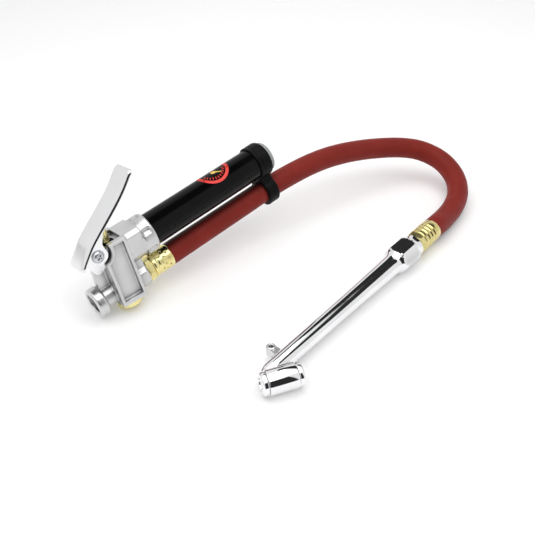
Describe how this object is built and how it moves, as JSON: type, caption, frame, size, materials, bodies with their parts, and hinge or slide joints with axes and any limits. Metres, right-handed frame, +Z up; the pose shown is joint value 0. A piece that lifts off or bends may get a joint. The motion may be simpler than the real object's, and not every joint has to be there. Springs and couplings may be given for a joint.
{
  "type": "tire inflator",
  "caption": "Hand-held air-line tire inflator: thumb-lever valve, tubular gauge, rubber hose and a long chuck with two feet.",
  "frame": {"origin": "on the ground, at the middle of the box round everything but the hose, as the tool lies at rest", "axes": "+Z up; +X the way the gauge barrel and the chuck point in plan, from the thumb lever to the hose loop; +Y from the chuck to the gauge barrel"},
  "size_m": [0.3062, 0.1609, 0.0904],
  "materials": {
    "cast_aluminium": "satin die casting",
    "chromed_metal": "polished chrome plate",
    "plated_steel": "bright zinc plate",
    "brass": "turned, lightly tarnished",
    "black_rubber": "moulded, matte",
    "black_enamel": "gloss enamel",
    "clear_plastic": "clear, polished",
    "white_nylon": "moulded, matte",
    "indicator_red": "moulded, matte",
    "hose_red": "fabric-marked matte rubber cover"
  },
  "bodies": {
    "inflator": {"body_casting": "cast_aluminium", "pivot_screw": "plated_steel", "pivot_nut": "plated_steel", "inlet_screen": "brass", "valve_spring": "plated_steel", "valve_cap": "brass", "cap_gasket": "black_rubber", "stem_o_ring": "black_rubber", "gland_nut": "brass", "stem_wiper": "black_rubber", "gauge_base": "brass", "gauge_barrel": "black_enamel", "gauge_tube": "clear_plastic", "gauge_spring": "plated_steel", "end_plug": "white_nylon", "end_lens": "clear_plastic", "bumper_cap": "black_rubber", "hose_fitting_body": "brass", "hose_ferrule_body": "brass", "hose": "hose_red", "hose_ferrule_chuck": "brass", "hose_fitting_chuck": "brass", "chuck_stem": "chromed_metal", "foot_cap_front": "chromed_metal", "foot_grommet_front": "black_rubber", "foot_spring_front": "plated_steel", "foot_cap_rear": "chromed_metal", "foot_grommet_rear": "black_rubber", "foot_spring_rear": "plated_steel"},
    "lever": {"lever": "chromed_metal"},
    "valve": {"valve_stem": "brass", "valve_disc": "black_rubber"},
    "gauge_piston": {"gauge_piston": "indicator_red", "piston_cup": "black_rubber"},
    "foot_pin_front": {"foot_pin_front": "brass"},
    "foot_pin_rear": {"foot_pin_rear": "brass"}
  },
  "joints": [
    {"name": "lever_hinge", "type": "hinge", "parent": "inflator", "child": "lever", "pos_m": [-0.10317, 0.06125, 0.04504], "axis": [0.0405, 0.9681, -0.2471], "range_deg": [0, 15], "stiffness_Nm_per_rad": 0.6, "springref_deg": -17.19},
    {"name": "valve_slide", "type": "slide", "parent": "inflator", "child": "valve", "axis": [0.0872, -0.2498, -0.9644], "range_m": [0, 0.0047], "deforming": ["valve_spring"]},
    {"name": "gauge_slide", "type": "slide", "parent": "inflator", "child": "gauge_piston", "axis": [0.9869, 0, 0.1616], "range_m": [0, 0.06], "stiffness_N_per_m": 80, "springref_m": -0.02, "deforming": ["gauge_spring"]},
    {"name": "foot_pin_front_slide", "type": "slide", "parent": "inflator", "child": "foot_pin_front", "axis": [0.9301, -0.3672, 0.0093], "range_m": [0, 0.0015], "stiffness_N_per_m": 600, "springref_m": -0.002, "deforming": ["foot_spring_front"]},
    {"name": "foot_pin_rear_slide", "type": "slide", "parent": "inflator", "child": "foot_pin_rear", "axis": [-0.9301, 0.3672, -0.0093], "range_m": [0, 0.0015], "stiffness_N_per_m": 600, "springref_m": -0.002, "deforming": ["foot_spring_rear"]}
  ],
  "couplings": [
    {"joint": "valve_slide", "follows": "lever_hinge", "m_per_rad": 0.01795}
  ]
}
